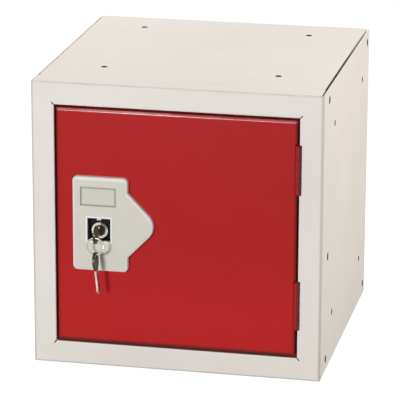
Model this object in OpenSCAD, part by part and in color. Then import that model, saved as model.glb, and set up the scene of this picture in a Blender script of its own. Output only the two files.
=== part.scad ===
// Small steel cube locker with a flush hinged door, a cam lock in a moulded surround and two keys.
// Frame: X to the right, Y from the front to the back, Z up; the origin is the middle of the base.

/* [Body] */
// Outside width of the carcass
body_w = 305; // [290:5:380]
// Outside depth of the carcass, without the lock and keys
body_d = 305; // [260:5:450]
// Outside height of the carcass
body_h = 305; // [290:5:450]
// Thickness of the carcass sheet
sheet_t = 1; // [0.8:0.1:1.2]
// Outside radius of the folds in the carcass sheet
fold_r = 2; // [1.6:0.1:2.4]

/* [Front frame] */
// Width of the frame members, seen from the front
frame_w = 24.5; // [22:0.5:30]
// Depth from the frame's face to the stop lip
rebate_d = 16.5; // [16:0.5:20]
// Width of the stop lip behind the door
stop_w = 10; // [8:0.5:12]
// Depth of the top and bottom rails
rail_d = 28; // [26:1:34]
// Width of the relief slot in each frame corner
relief_w = 1.2; // [0.8:0.1:2]
// Length of the relief slot in each frame corner
relief_len = 4; // [2:0.5:9]

/* [Panels] */
// Height of the welding flanges on the top, bottom and back panels
flange_h = 7; // [5:0.5:7.5]
// Open seam between the right side panel and the top and bottom panels
seam_right = 1.6; // [0.5:0.1:2]
// Gap between the left side panel and the top and bottom panels
seam_left = 0.1; // [0.1:0.05:0.4]
// Clearance all round the back panel
back_gap = 0.25; // [0.1:0.05:0.5]

/* [Fixing holes] */
// Radius of the nesting bolt holes
nest_r = 3.25; // [2.5:0.25:4.25]
// Spacing of the nesting holes across the width
nest_x = 185; // [120:1:200]
// Spacing of the nesting holes along the depth
nest_y = 187; // [100:1:190]
// Spacing of the nesting holes up the height
nest_z = 206; // [120:1:210]
// Distance of the rear nesting holes from the back
nest_back = 45; // [30:1:50]
// Height of the lower nesting holes
nest_low = 52.5; // [40:0.5:60]
// Radius of the corner holes in the side panels
corner_r = 4; // [2.5:0.25:4.25]
// Distance of the front corner holes from the front
corner_front = 36; // [35:0.5:50]
// Distance of the rear corner holes from the back
corner_back = 12.5; // [12.5:0.5:25]
// Distance of the corner holes from the top and the bottom
corner_edge = 12.5; // [12.5:0.5:20]
// Radius of the single hole in each side panel
access_r = 4; // [2.5:0.25:5]
// Distance of the single hole from the front
access_front = 40; // [36:0.5:60]
// Height of the single hole
access_z = 124; // [100:1:140]

/* [Door] */
// Thickness of the door sheet
door_t = 1; // [0.8:0.1:1.2]
// Outside radius of the folds round the door's face
door_fold_r = 3; // [2.2:0.1:3.4]
// Depth of the door pan
door_depth = 15; // [14:0.25:15.5]
// Width of the lips turned in behind the door
door_lip = 10; // [8:0.5:12]
// Gap between the door and the frame at each side
gap_side = 1.5; // [1.2:0.1:2]
// Gap above the door
gap_top = 2.5; // [1.5:0.1:3]
// Gap below the door
gap_bottom = 2.2; // [1.5:0.1:3]
// Radius of the rubber buffers on the stop lip
buffer_r = 4; // [3:0.25:4.25]
// Distance of the buffers from the top and bottom of the opening
buffer_in = 45; // [20:1:80]
// Air between the buffers and the closed door
buffer_gap = 0.3; // [0.2:0.05:0.5]

/* [Hinges] */
// Length of each hinge
hinge_len = 50; // [40:1:60]
// Distance from the top of the opening to the upper hinge
hinge_top = 29.5; // [20:0.5:45]
// Distance from the bottom of the opening to the lower hinge
hinge_low = 31.5; // [20:0.5:45]
// Thickness of the hinge leaves
leaf_t = 1.15; // [1:0.05:1.4]
// Reach of the leaves behind the pin
leaf_reach = 13; // [9:0.5:13.5]
// Radius of the hinge pins
pin_r = 1.6; // [1.3:0.05:1.7]
// Running clearance round the hinge pins
pin_clear = 0.05; // [0.03:0.01:0.1]
// Distance of the hinge axis in front of the frame's face
hinge_proud = 0.8; // [0.6:0.1:1.6]
// Gap between the knuckles of a hinge
knuckle_gap = 0.3; // [0.2:0.05:0.6]
// Clearance round the barrels in their notches
notch_gap = 0.5; // [0.2:0.05:0.6]

/* [Lock surround] */
// Distance of the lock's axis from the free edge of the door
lock_in = 47; // [44:0.5:60]
// Height of the lock's axis above the base
lock_z = 150; // [130:1:170]
// Width of the surround without its nose
plate_w = 58.5; // [56:0.5:61]
// Height of the surround
plate_h = 101; // [97:0.5:104]
// Height of the surround above the door's face
plate_t = 7.5; // [7:0.25:10]
// Radius of the rounded edge all round the surround's face
edge_r = 3.5; // [2:0.25:4]
// Radius of the surround's corners, seen from the front
plate_r = 5; // [4.5:0.25:6.5]
// Distance of the surround's free edge from the lock's axis
plate_left = 28.5; // [27:0.5:30]
// Distance of the surround's lower edge below the lock's axis
plate_below = 43.5; // [42:0.5:45]
// Wall thickness of the surround
plate_wall = 2; // [1.6:0.1:2.4]
// Overall width of the surround with its nose
nose_reach = 85.5; // [82:0.5:90]
// Radius of the nose's round end
nose_r = 17; // [14:0.5:20]
// Slope of the nose's flanks
nose_angle = 45.8; // [42:0.1:50]
// Height of the nose's middle above the lock's axis
nose_above = 7; // [4:0.5:8]
// Width of the window for the number card
window_w = 37.5; // [34:0.5:39]
// Height of the window for the number card
window_h = 20; // [17:0.5:22]
// Distance of the window from the surround's free edge
window_left = 9; // [6:0.5:10]
// Distance of the window from the surround's upper edge
window_top = 10.5; // [8:0.5:12]
// Depth of the window's recess
window_d = 1; // [0.8:0.1:1.2]
// Thickness of the number card
card_t = 0.5; // [0.3:0.1:0.7]
// Clearance round the number card
card_gap = 1; // [0.2:0.1:1.2]
// Width of the square opening for the lock
aperture_w = 24.5; // [23.5:0.25:25.5]
// Height of the square opening for the lock
aperture_h = 24.5; // [24:0.25:25.5]
// Height of the opening's middle above the lock's axis
aperture_above = 1.8; // [0.8:0.1:2]
// Width of the raised collar round the opening
collar_w = 1.8; // [1.2:0.1:2.4]
// Height of the raised collar round the opening
collar_h = 0.5; // [0.3:0.1:0.8]
// Width of the lug at the top of the opening
lug_w = 4.5; // [3:0.25:6]
// Height of the lug at the top of the opening
lug_h = 2; // [1:0.25:3]
// Thickness of the lug at the top of the opening
lug_t = 1.5; // [1:0.25:1.75]
// Radius of the locating pegs behind the surround
peg_r = 2; // [1.5:0.1:2.5]
// Clearance round the locating pegs
peg_clear = 0.1; // [0.05:0.05:0.25]

/* [Cam lock] */
// Distance of the lock case's front edge behind the surround's face
case_in = 2.5; // [2:0.25:3]
// Clearance round the lock case in the surround
case_gap = 0.2; // [0.1:0.05:0.4]
// Wall thickness of the lock case
case_wall = 1.2; // [1:0.1:1.3]
// Thickness of the lock case's floor
case_floor = 1.5; // [1.2:0.1:2]
// Radius of the lock's head
head_r = 8.5; // [8:0.1:8.8]
// Thickness of the lock's head
head_t = 2.5; // [2:0.1:3]
// Radius of the lock's threaded body
barrel_r = 7.25; // [6.75:0.05:7.5]
// Distance across the flats of the lock's body
barrel_flats = 12.5; // [12:0.1:13]
// Clearance round the lock's body in the case and the door
barrel_clear = 0.15; // [0.1:0.05:0.3]
// Radius of the spring washer
washer_r = 10; // [9:0.25:11]
// Thickness of the spring washer
washer_t = 1; // [0.6:0.1:1.4]
// Width of the lock nut across its flats
nut_af = 19; // [17:0.5:20]
// Thickness of the lock nut
nut_t = 4; // [3:0.25:5]
// Radius of the turning plug
plug_r = 5; // [4.8:0.05:5.2]
// Running clearance round the plug
plug_clear = 0.05; // [0.03:0.01:0.1]
// Radius of the plug's head
plug_head_r = 6; // [5.8:0.1:6.6]
// Thickness of the plug's head
plug_head_t = 1.2; // [1:0.1:1.6]
// Width of the square tail of the plug
tail_w = 6; // [5.4:0.1:6.4]
// Number of wafers in the plug
wafer_n = 5; // [3:1:5]
// Thickness of a wafer
wafer_t = 0.6; // [0.5:0.05:0.8]
// Width of a wafer
wafer_w = 6; // [5.4:0.1:6.4]
// Spacing of the wafers along the plug
wafer_step = 2.4; // [2:0.1:2.6]

/* [Cam] */
// Thickness of the cam
cam_t = 2; // [1.5:0.1:2.5]
// Width of the cam at its hub
cam_w = 15; // [13:0.5:17]
// Width of the cam at its tip
cam_tip_w = 10; // [8:0.5:12]
// Overlap of the cam behind the stop lip when it is locked
cam_catch = 8; // [6:0.5:9]
// Gap between the cam and the stop lip
cam_gap = 0.3; // [0.2:0.05:0.6]
// Thickness of the cam's washer
cam_washer_t = 1; // [0.8:0.1:1.4]
// Radius of the cam's washer
cam_washer_r = 5.5; // [5:0.25:6.5]
// Radius of the cam screw's thread
screw_r = 1.75; // [1.5:0.05:2]
// Radius of the cam screw's head
screw_head_r = 3.6; // [3.2:0.1:4.2]
// Height of the cam screw's head
screw_head_t = 2.4; // [2:0.1:3]
// Length of the cam screw's shank in the plug
screw_len = 4; // [3:0.25:4.5]

/* [Keys] */
// Length of the key blade
blade_len = 18.5; // [17.5:0.25:18.75]
// Height of the key blade
blade_h = 8; // [7:0.1:8]
// Thickness of the key blade
blade_t = 2; // [1.6:0.1:2.2]
// Clearance round the blade in its keyway
blade_clear = 0.2; // [0.15:0.05:0.3]
// Radius of the key's bow
bow_r = 9.5; // [9:0.25:11]
// Thickness of the key's bow
bow_t = 2; // [1.6:0.1:2.4]
// Distance of the bow's middle from the key's shoulder
bow_out = 16; // [14:0.25:18]
// Height of the key's neck
neck_h = 9; // [8:0.25:10]
// Radius of the ring hole in the bow
hole_r = 3; // [2.6:0.1:3.4]
// Distance of the ring hole's middle from the end of the bow
hole_in = 4.6; // [4.2:0.1:5.5]
// Mean radius of the split ring
ring_r = 8.9; // [8.5:0.1:11]
// Radius of the split ring's wire
wire_r = 0.65; // [0.5:0.05:0.75]
// Air between the ring and the keys that hang on it
hang_gap = 0.2; // [0.1:0.05:0.3]
// Lean of the spare key, whose tip hangs to the right
spare_lean = 5; // [0:0.5:6]

/* [Hidden] */

$fn = 48;
eps = 0.01;
cut = 1;

// Faces of the carcass
front_y = -body_d / 2;
back_y = body_d / 2;
open_x = body_w / 2 - frame_w;
open_low = frame_w;
open_high = body_h - frame_w;

// Faces of the door
door_left = -open_x + gap_side;
door_right = open_x - gap_side;
door_low = open_low + gap_bottom;
door_high = open_high - gap_top;
door_w = door_right - door_left;
door_h = door_high - door_low;

// Hinges
hinge_x = open_x - gap_side / 2;
hinge_y = front_y - hinge_proud;
leaf_set = 0.05;
knuckle_r = gap_side / 2 + max(sheet_t, door_t) + leaf_t + leaf_set;
upper_hinge_z = open_high - hinge_top - hinge_len;
lower_hinge_z = open_low + hinge_low;
outer_knuckle = hinge_len / 4;
notch_back = hinge_proud + knuckle_r + notch_gap;
pin_head_t = 1;
pin_head_r = 1.5 * pin_r;
notch_end = pin_head_t + notch_gap;

// Lock, from the front backwards
lock_x = door_left + lock_in;
plate_y = front_y - plate_t;
case_seat_y = front_y - case_floor;
head_y = case_seat_y - head_t;
cam_y = front_y + rebate_d + sheet_t + cam_gap;
barrel_end_y = cam_y - cam_gap;
cam_len = lock_in + gap_side - stop_w + cam_catch;
plug_proud = 0.2;
plug_face_y = head_y - plug_proud;
blade_air = 0.5;
keyway_deep = blade_len + blade_air;
first_wafer = 3;
wafer_clear = 0.1;
thread_clear = 0.05;
tail_clear = 0.1;
washer_clear = 0.2;
screw_air = 0.3;
cross_w = 0.8;
groove_w = 1;

// Surround, from the lock's axis
plate_right = plate_w - plate_left;
plate_above = plate_h - plate_below;
nose_x = nose_reach - plate_left - nose_r;
aperture_x = lock_x - aperture_w / 2;
aperture_z = lock_z + aperture_above - aperture_h / 2;
window_x = lock_x - plate_left + window_left;
window_z = lock_z + plate_above - window_top - window_h;

// Keys. The ring's two turns overlap by twice the bite, so they are one solid
hole_out = bow_out + bow_r - hole_in;
turn_bite = 0.05;
ring_coil = wire_r - turn_bite;
hang_drop = sqrt(pow(hole_r - wire_r - hang_gap, 2) - pow(ring_coil, 2));
ring_y = plug_face_y - hole_out;
ring_z = lock_z - hang_drop - ring_r;
spare_hole_z = ring_z - ring_r - hang_drop;

// Colours
carcass_colour = [0.87, 0.84, 0.8];
door_colour = [0.68, 0.13, 0.12];
moulding_colour = [0.8, 0.79, 0.75];
case_colour = [0.06, 0.06, 0.06];
nickel_colour = [0.72, 0.7, 0.66];
steel_colour = [0.62, 0.62, 0.62];

// A quarter of a folded corner in plan; qx and qy say which quarter of the circle it fills
module fold_arc(outer, wall, qx, qy) {
    intersection() {
        difference() {
            circle(r = outer);
            circle(r = outer - wall);
        }
        translate([qx < 0 ? -outer : 0, qy < 0 ? -outer : 0]) square(outer);
    }
}

// Section of a frame member: u runs in from the outside wall, v runs back from the front
module frame_section(depth) {
    inner_r = fold_r - sheet_t;
    lip_v = rebate_d + sheet_t;
    translate([0, fold_r]) square([sheet_t, depth - fold_r]);
    translate([fold_r, fold_r]) fold_arc(fold_r, sheet_t, -1, -1);
    translate([fold_r, 0]) square([frame_w - 2 * fold_r, sheet_t]);
    translate([frame_w - fold_r, fold_r]) fold_arc(fold_r, sheet_t, 1, -1);
    translate([frame_w - sheet_t, fold_r]) square([sheet_t, lip_v - 2 * fold_r]);
    translate([frame_w + inner_r, lip_v - fold_r]) fold_arc(fold_r, sheet_t, -1, 1);
    translate([frame_w + inner_r, rebate_d]) square([stop_w - inner_r, sheet_t]);
}

// Mitre block over one front corner: fills the side of the diagonal that belongs to the rail
module rail_corner(depth) {
    span = frame_w + stop_w + cut;
    rotate([90, 0, 0]) translate([0, 0, -depth])
        linear_extrude(depth + cut) polygon([[0, 0], [span, -span], [span, cut], [-cut, cut]]);
}

// Mitre block over one front corner: fills the side of the diagonal that belongs to the stile
module stile_corner(depth) {
    span = frame_w + stop_w + cut;
    rotate([90, 0, 0]) translate([0, 0, -depth])
        linear_extrude(depth + cut) polygon([[0, 0], [span, -span], [-cut, -span], [-cut, cut]]);
}

// What the stile leaves to the rail at a front corner: behind the front fold, the side's sheet stays
module side_mitre() {
    difference() {
        rail_corner(rail_d);
        translate([-2 * cut, fold_r, -frame_w]) cube([2 * cut + sheet_t, rail_d, frame_w + 2 * cut]);
    }
}

// What a rail leaves free at its end, behind the front fold: the side's sheet and the seam beside it
module rail_end(seam) {
    translate([-cut, fold_r, -flange_h - cut]) cube([cut + sheet_t + seam, rail_d, flange_h + 2 * cut]);
}

// Relief slot on the diagonal of a front corner
module corner_relief() {
    translate([frame_w, 0, -frame_w]) rotate([0, 45, 0])
        translate([-relief_len, -cut, -relief_w / 2])
            cube([relief_len + cut, cut + fold_r + sheet_t, relief_w]);
}

// Puts a child at the upper left front corner, and at its three mirror images if they are asked for
module at_corner(right, low) {
    mirror([right, 0, 0]) translate([-body_w / 2, front_y, low ? 0 : body_h]) mirror([0, 0, low]) children();
}

// Holes through a side panel, drilled along X
module side_holes() {
    for (y = [back_y - nest_back, back_y - nest_back - nest_y], z = [nest_low, nest_low + nest_z])
        translate([0, y, z]) rotate([0, 90, 0]) cylinder(r = nest_r, h = 4 * sheet_t, center = true);
    for (y = [front_y + corner_front, back_y - corner_back], z = [corner_edge, body_h - corner_edge])
        translate([0, y, z]) rotate([0, 90, 0]) cylinder(r = corner_r, h = 4 * sheet_t, center = true);
    translate([0, front_y + access_front, access_z])
        rotate([0, 90, 0]) cylinder(r = access_r, h = 4 * sheet_t, center = true);
}

// Four nesting holes drilled along Z
module flat_holes() {
    for (x = [-nest_x / 2, nest_x / 2], y = [back_y - nest_back, back_y - nest_back - nest_y])
        translate([x, y, 0]) cylinder(r = nest_r, h = 4 * sheet_t, center = true);
}

// Side panel with its stile, folded from one sheet, as the left one
module side_body() {
    difference() {
        translate([-body_w / 2, front_y, 0]) linear_extrude(body_h) frame_section(body_d);
        for (low = [0, 1]) at_corner(0, low) {
            side_mitre();
            corner_relief();
        }
        translate([-body_w / 2, 0, 0]) side_holes();
    }
}

module left_side() {
    color(carcass_colour) side_body();
}

module right_side() {
    color(carcass_colour) difference() {
        mirror([1, 0, 0]) side_body();
        for (z = [lower_hinge_z, upper_hinge_z])
            translate([open_x - cut, front_y - cut, z - notch_end])
                cube([cut + knuckle_r + notch_gap - gap_side / 2, cut + notch_back - hinge_proud,
                    hinge_len + 2 * notch_end]);
    }
}

// Front rail, folded from one sheet, as the top one
module rail_body() {
    difference() {
        translate([-body_w / 2, front_y, body_h]) rotate([0, 90, 0]) linear_extrude(body_w) {
            frame_section(rail_d - fold_r);
            translate([fold_r, rail_d - fold_r]) fold_arc(fold_r, sheet_t, -1, 1);
            translate([fold_r, rail_d - sheet_t]) square([flange_h - fold_r, sheet_t]);
        }
        for (right = [0, 1]) at_corner(right, 0) {
            stile_corner(rail_d);
            rail_end(right ? seam_right : seam_left);
            corner_relief();
        }
    }
}

module top_rail() {
    color(carcass_colour) rail_body();
}

module bottom_rail() {
    color(carcass_colour) translate([0, 0, body_h]) mirror([0, 0, 1]) rail_body();
}

// Sheet with its edges folded down: x0 to x1 and y0 to y1 outside. The rear edge is folded too if rear
// is true, and otherwise the side folds stop short of it by rear_clear, where the sheet stays flat
module tray(x0, x1, y0, y1, rear, rear_clear) {
    r = fold_r;
    y_end = rear ? y1 - r : y1 - rear_clear;
    flat_end = rear ? y_end : y1;
    side_len = y_end - y0 - r;
    translate([x0 + r, y0 + r, -sheet_t]) cube([x1 - x0 - 2 * r, flat_end - y0 - r, sheet_t]);
    translate([x0, y_end, 0]) rotate([90, 0, 0]) linear_extrude(side_len) tray_edge();
    translate([x1, y0 + r, 0]) rotate([90, 0, 180]) linear_extrude(side_len) tray_edge();
    translate([x0 + r, y0, 0]) rotate([90, 0, 90]) linear_extrude(x1 - x0 - 2 * r) tray_edge();
    if (rear)
        translate([x1 - r, y1, 0]) rotate([90, 0, -90]) linear_extrude(x1 - x0 - 2 * r) tray_edge();
    else
        translate([x0, y_end, -sheet_t]) cube([x1 - x0, rear_clear, sheet_t]);
}

// Section of one folded edge of a tray, with the start of its flat sheet: u runs in from the edge, v is
// up from the face
module tray_edge() {
    translate([fold_r, -fold_r]) fold_arc(fold_r, sheet_t, -1, 1);
    translate([0, -flange_h]) square([sheet_t, flange_h - fold_r]);
    translate([fold_r, -sheet_t]) square([fold_r, sheet_t]);
}

module top_body() {
    inside = body_w / 2 - sheet_t;
    difference() {
        tray(seam_left - inside, inside - seam_right, front_y + rail_d, back_y, false, flange_h + back_gap);
        flat_holes();
    }
}

module top_panel() {
    color(carcass_colour) translate([0, 0, body_h]) top_body();
}

module bottom_panel() {
    color(carcass_colour) mirror([0, 0, 1]) top_body();
}

module back_panel() {
    half = body_w / 2 - sheet_t - back_gap;
    low = sheet_t + back_gap;
    color(carcass_colour) difference() {
        translate([0, back_y, 0]) rotate([-90, 0, 0]) mirror([0, 1, 0])
            tray(-half, half, low, body_h - low, true, 0);
        for (x = [-nest_x / 2, nest_x / 2], z = [nest_low, nest_low + nest_z])
            translate([x, back_y, z]) rotate([90, 0, 0])
                cylinder(r = nest_r, h = 4 * sheet_t, center = true);
    }
}

module door_buffers() {
    x = -open_x + (stop_w + fold_r - sheet_t) / 2;
    color("dimgray") for (z = [open_low + buffer_in, open_high - buffer_in])
        translate([x, front_y + rebate_d, z]) rotate([90, 0, 0])
            cylinder(r = buffer_r, h = rebate_d - door_depth - buffer_gap);
}

// Left face of a hinge leaf, from the pin's axis
function leaf_face(way) = way > 0 ? knuckle_r - leaf_set - leaf_t : leaf_set - knuckle_r;

// One knuckle round the pin, from z0 for a length h, with the neck that joins it to its leaf
module knuckle(z0, h, way) {
    neck = knuckle_r + notch_gap;
    translate([0, 0, z0]) cylinder(r = knuckle_r, h = h);
    translate([leaf_face(way), 0, z0]) cube([leaf_t, neck + eps, h]);
}

// Hinge leaf: way is 1 for the frame and -1 for the door, knuckles is a list of [start, length]
module hinge_leaf(way, knuckles) {
    neck = knuckle_r + notch_gap;
    difference() {
        union() {
            translate([leaf_face(way), neck, 0])
                cube([leaf_t, leaf_reach - neck, hinge_len]);
            for (k = knuckles) knuckle(k[0], k[1], way);
        }
        translate([0, 0, -cut]) cylinder(r = pin_r + pin_clear, h = hinge_len + 2 * cut);
    }
}

module frame_leaf(z) {
    color(door_colour) translate([hinge_x, hinge_y, z])
        hinge_leaf(1, [[0, outer_knuckle], [hinge_len - outer_knuckle, outer_knuckle]]);
}

module door_leaf(z) {
    color(door_colour) translate([hinge_x, hinge_y, z])
        hinge_leaf(-1, [[outer_knuckle + knuckle_gap, hinge_len - 2 * (outer_knuckle + knuckle_gap)]]);
}

module hinge_pin(z) {
    color(door_colour) translate([hinge_x, hinge_y, z]) {
        cylinder(r = pin_r, h = hinge_len);
        translate([0, 0, hinge_len]) cylinder(r = pin_head_r, h = pin_head_t);
    }
}

module upper_hinge_frame_leaf() { frame_leaf(upper_hinge_z); }
module lower_hinge_frame_leaf() { frame_leaf(lower_hinge_z); }
module upper_hinge_door_leaf() { door_leaf(upper_hinge_z); }
module lower_hinge_door_leaf() { door_leaf(lower_hinge_z); }
module upper_hinge_pin() { hinge_pin(upper_hinge_z); }
module lower_hinge_pin() { hinge_pin(lower_hinge_z); }

// Section across the door pan, as if it were solid, drawn in by inset: u runs along the door, from 0 to
// len before it is drawn in, and v runs back from its face
module pan_section(len, inset) {
    front_r = door_fold_r - inset;
    back_r = fold_r - sheet_t + door_t - inset;
    wide = len - 2 * inset;
    deep = door_depth - 2 * inset;
    translate([inset, inset]) {
        translate([front_r, 0]) square([wide - 2 * front_r, deep / 2]);
        translate([0, front_r]) square([wide, deep - front_r - back_r]);
        translate([back_r, deep / 2]) square([wide - 2 * back_r, deep / 2]);
        for (u = [front_r, wide - front_r]) translate([u, front_r]) circle(r = front_r);
        for (u = [back_r, wide - back_r]) translate([u, deep - back_r]) circle(r = back_r);
    }
}

// The door pan as if it were solid, drawn in by inset, with its lower left corner at the origin
module pan_block(inset) {
    intersection() {
        linear_extrude(door_h) pan_section(door_w, inset);
        rotate([90, 0, 90]) linear_extrude(door_w) rotate(90) mirror([0, 1, 0]) pan_section(door_h, inset);
    }
}

// Outline of the lock's body: a round bar with two flats
module barrel_outline(extra) {
    intersection() {
        circle(r = barrel_r + extra);
        square([barrel_flats + 2 * extra, 3 * barrel_r], center = true);
    }
}

// Places a child at the lock's axis, with its Z axis pointing to the back
module at_lock(y) {
    translate([lock_x, y, lock_z]) rotate([-90, 0, 0]) children();
}

// Places of the surround's two locating pegs, from the lock's axis
module at_pegs() {
    for (z = [lock_z - plate_below + 2 * plate_wall + 2 * peg_r, window_z + window_h / 2])
        translate([lock_x, front_y, z]) rotate([-90, 0, 0]) children();
}

module door_panel() {
    color(door_colour) difference() {
        translate([door_left, front_y, door_low]) difference() {
            pan_block(0);
            pan_block(door_t);
            translate([door_lip, door_depth / 2, door_lip])
                cube([door_w - 2 * door_lip, door_depth, door_h - 2 * door_lip]);
        }
        at_lock(front_y - cut) linear_extrude(door_t + 2 * cut) barrel_outline(barrel_clear);
        at_pegs() translate([0, 0, -cut]) cylinder(r = peg_r + peg_clear, h = door_t + 2 * cut);
        for (z = [lower_hinge_z, upper_hinge_z])
            translate([hinge_x - knuckle_r - notch_gap, front_y - cut, z - notch_end])
                cube([knuckle_r + notch_gap, cut + notch_back - hinge_proud, hinge_len + 2 * notch_end]);
    }
}

// How far a flank of the nose runs back from the nose's round end, to end inside the plate
function flank_run(inset) =
    (nose_x + (nose_r - inset) * sin(nose_angle) - plate_right + inset + plate_r) / cos(nose_angle);

// Outline of the surround seen from the front, drawn in by inset, with the lock's axis at its origin
module surround_outline(inset) {
    r = plate_r - inset;
    x0 = inset - plate_left;
    z0 = inset - plate_below;
    w = plate_w - 2 * inset;
    h = plate_h - 2 * inset;
    tip_r = nose_r - inset;
    run = flank_run(inset);
    across = [sin(nose_angle), cos(nose_angle)] * tip_r;
    back = [across[0] - run * cos(nose_angle), across[1] + run * sin(nose_angle)];
    translate([x0 + r, z0]) square([w - 2 * r, h]);
    translate([x0, z0 + r]) square([w, h - 2 * r]);
    for (x = [x0 + r, x0 + w - r], z = [z0 + r, z0 + h - r]) translate([x, z]) circle(r = r);
    translate([nose_x, nose_above]) {
        circle(r = tip_r);
        polygon([across, back, [back[0], -back[1]], [across[0], -across[1]]]);
    }
}

// Section through the surround's rounded edge: u runs out from a middle line to w, v is up from the door
module edge_section(w) {
    intersection() {
        square([w, plate_t]);
        union() {
            square([w, plate_t - edge_r]);
            translate([w - edge_r, plate_t - edge_r]) circle(r = edge_r);
        }
    }
}

// The surround without its openings, lying on the XY plane with the lock's axis at the origin
module surround_solid() {
    run = flank_run(0);
    linear_extrude(plate_t) surround_outline(edge_r);
    translate([plate_r - plate_left, plate_above - plate_h / 2, 0]) rotate([90, 0, 90])
        linear_extrude(plate_w - 2 * plate_r)
            for (side = [0, 1]) mirror([side, 0]) edge_section(plate_h / 2);
    translate([plate_right - plate_w / 2, plate_above - plate_r, 0]) rotate([90, 0, 0])
        linear_extrude(plate_h - 2 * plate_r)
            for (side = [0, 1]) mirror([side, 0]) edge_section(plate_w / 2);
    for (right = [0, 1], low = [0, 1])
        translate([right ? plate_right - plate_r : plate_r - plate_left,
            low ? plate_r - plate_below : plate_above - plate_r, 0])
            mirror([1 - right, 0, 0]) mirror([0, low, 0])
                rotate_extrude(angle = 90) edge_section(plate_r);
    translate([nose_x, nose_above, 0]) {
        rotate(nose_angle - 90) rotate_extrude(angle = 180 - 2 * nose_angle) edge_section(nose_r);
        for (side = [0, 1]) mirror([0, side, 0]) rotate([90, 0, 90 - nose_angle])
            translate([0, 0, -run]) linear_extrude(run) edge_section(nose_r);
    }
}

module lock_surround() {
    color(moulding_colour) {
        difference() {
            union() {
                translate([lock_x, front_y, lock_z]) rotate([90, 0, 0]) surround_solid();
                translate([aperture_x - collar_w, plate_y - collar_h, aperture_z - collar_w])
                    cube([aperture_w + 2 * collar_w, collar_h + eps, aperture_h + 2 * collar_w]);
            }
            difference() {
                translate([lock_x, plate_y + plate_wall + window_d + plate_t, lock_z]) rotate([90, 0, 0])
                    linear_extrude(plate_t) surround_outline(plate_wall);
                translate([aperture_x - plate_wall, plate_y, aperture_z - plate_wall])
                    cube([aperture_w + 2 * plate_wall, plate_t, aperture_h + 2 * plate_wall]);
                at_pegs() translate([0, 0, -plate_t]) cylinder(r = 2 * peg_r, h = plate_t);
            }
            translate([aperture_x, plate_y - cut, aperture_z])
                cube([aperture_w, plate_t + 2 * cut, aperture_h]);
            translate([window_x, plate_y - cut, window_z]) cube([window_w, cut + window_d, window_h]);
        }
        translate([lock_x - lug_w / 2, plate_y, aperture_z + aperture_h - lug_h])
            cube([lug_w, lug_t, lug_h + eps]);
        at_pegs() translate([0, 0, -eps]) cylinder(r = peg_r, h = 2 * door_t + eps);
    }
}

module number_card() {
    color("gainsboro")
        translate([window_x + card_gap, plate_y + window_d - card_t, window_z + card_gap])
            cube([window_w - 2 * card_gap, card_t, window_h - 2 * card_gap]);
}

// Black square case that fills the surround's opening and carries the lock's head
module lock_case() {
    side = case_gap + case_wall;
    deep = plate_t - case_in;
    color(case_colour) difference() {
        translate([aperture_x + case_gap, front_y - deep, aperture_z + case_gap])
            cube([aperture_w - 2 * case_gap, deep, aperture_h - 2 * case_gap]);
        translate([aperture_x + side, front_y - deep - cut, aperture_z + side])
            cube([aperture_w - 2 * side, cut + deep - case_floor, aperture_h - 2 * side]);
        at_lock(front_y - deep) linear_extrude(2 * deep) barrel_outline(barrel_clear);
    }
}

module lock_barrel() {
    head_bore = plug_head_r + plug_clear;
    color(nickel_colour) at_lock(0) difference() {
        union() {
            translate([0, 0, head_y]) cylinder(r = head_r, h = head_t);
            translate([0, 0, case_seat_y]) linear_extrude(barrel_end_y - case_seat_y) barrel_outline(0);
        }
        translate([0, 0, head_y - cut])
            cylinder(r = plug_r + plug_clear, h = barrel_end_y - head_y + 2 * cut);
        translate([0, 0, head_y - cut]) cylinder(r = head_bore, h = cut + plug_head_t);
    }
}

module lock_washer() {
    color(steel_colour) at_lock(front_y + door_t) difference() {
        cylinder(r = washer_r, h = washer_t);
        translate([0, 0, -cut]) cylinder(r = barrel_r + barrel_clear, h = washer_t + 2 * cut);
    }
}

module lock_nut() {
    color(steel_colour) at_lock(front_y + door_t + washer_t) difference() {
        cylinder(r = nut_af / 2 / cos(30), h = nut_t, $fn = 6);
        translate([0, 0, -cut]) cylinder(r = barrel_r + thread_clear, h = nut_t + 2 * cut);
    }
}

// Distance from the plug's face to the middle of wafer i
function wafer_at(i) = plug_head_t + first_wafer + i * wafer_step;

module lock_plug() {
    keyway_t = blade_t + 2 * blade_clear;
    keyway_h = blade_h + 2 * blade_clear;
    color(nickel_colour) at_lock(plug_face_y) difference() {
        union() {
            cylinder(r = plug_head_r, h = plug_head_t);
            cylinder(r = plug_r, h = barrel_end_y - plug_face_y);
            translate([0, 0, (cam_y - plug_face_y) / 2])
                linear_extrude((cam_y - plug_face_y) / 2 + cam_t) square(tail_w, center = true);
        }
        translate([-keyway_t / 2, -keyway_h / 2, -cut]) cube([keyway_t, keyway_h, cut + keyway_deep]);
        for (i = [0 : wafer_n - 1])
            translate([0, 0, wafer_at(i)])
                cube([wafer_w + 2 * wafer_clear, 3 * plug_r, wafer_t + 2 * wafer_clear], center = true);
        translate([0, 0, cam_y + cam_t - plug_face_y - screw_len])
            cylinder(r = screw_r + thread_clear, h = screw_len + cut);
    }
}

module lock_wafers() {
    color("goldenrod") for (i = [0 : wafer_n - 1])
        at_lock(plug_face_y + wafer_at(i) - wafer_t / 2) linear_extrude(wafer_t) difference() {
            intersection() {
                circle(r = plug_r);
                square([wafer_w, 3 * plug_r], center = true);
            }
            square([blade_t + 3 * blade_clear, blade_h + 3 * blade_clear], center = true);
        }
}

// Cam: points down at rest and turns behind the stop lip to lock
module cam() {
    corner = cam_tip_w / 4;
    color(steel_colour) at_lock(cam_y) linear_extrude(cam_t) difference() {
        union() {
            circle(r = cam_w / 2);
            polygon([[-cam_w / 2, 0], [cam_w / 2, 0], [cam_tip_w / 2, cam_len - corner],
                [cam_tip_w / 2 - corner, cam_len], [corner - cam_tip_w / 2, cam_len],
                [-cam_tip_w / 2, cam_len - corner]]);
        }
        square(tail_w + 2 * tail_clear, center = true);
    }
}

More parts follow.
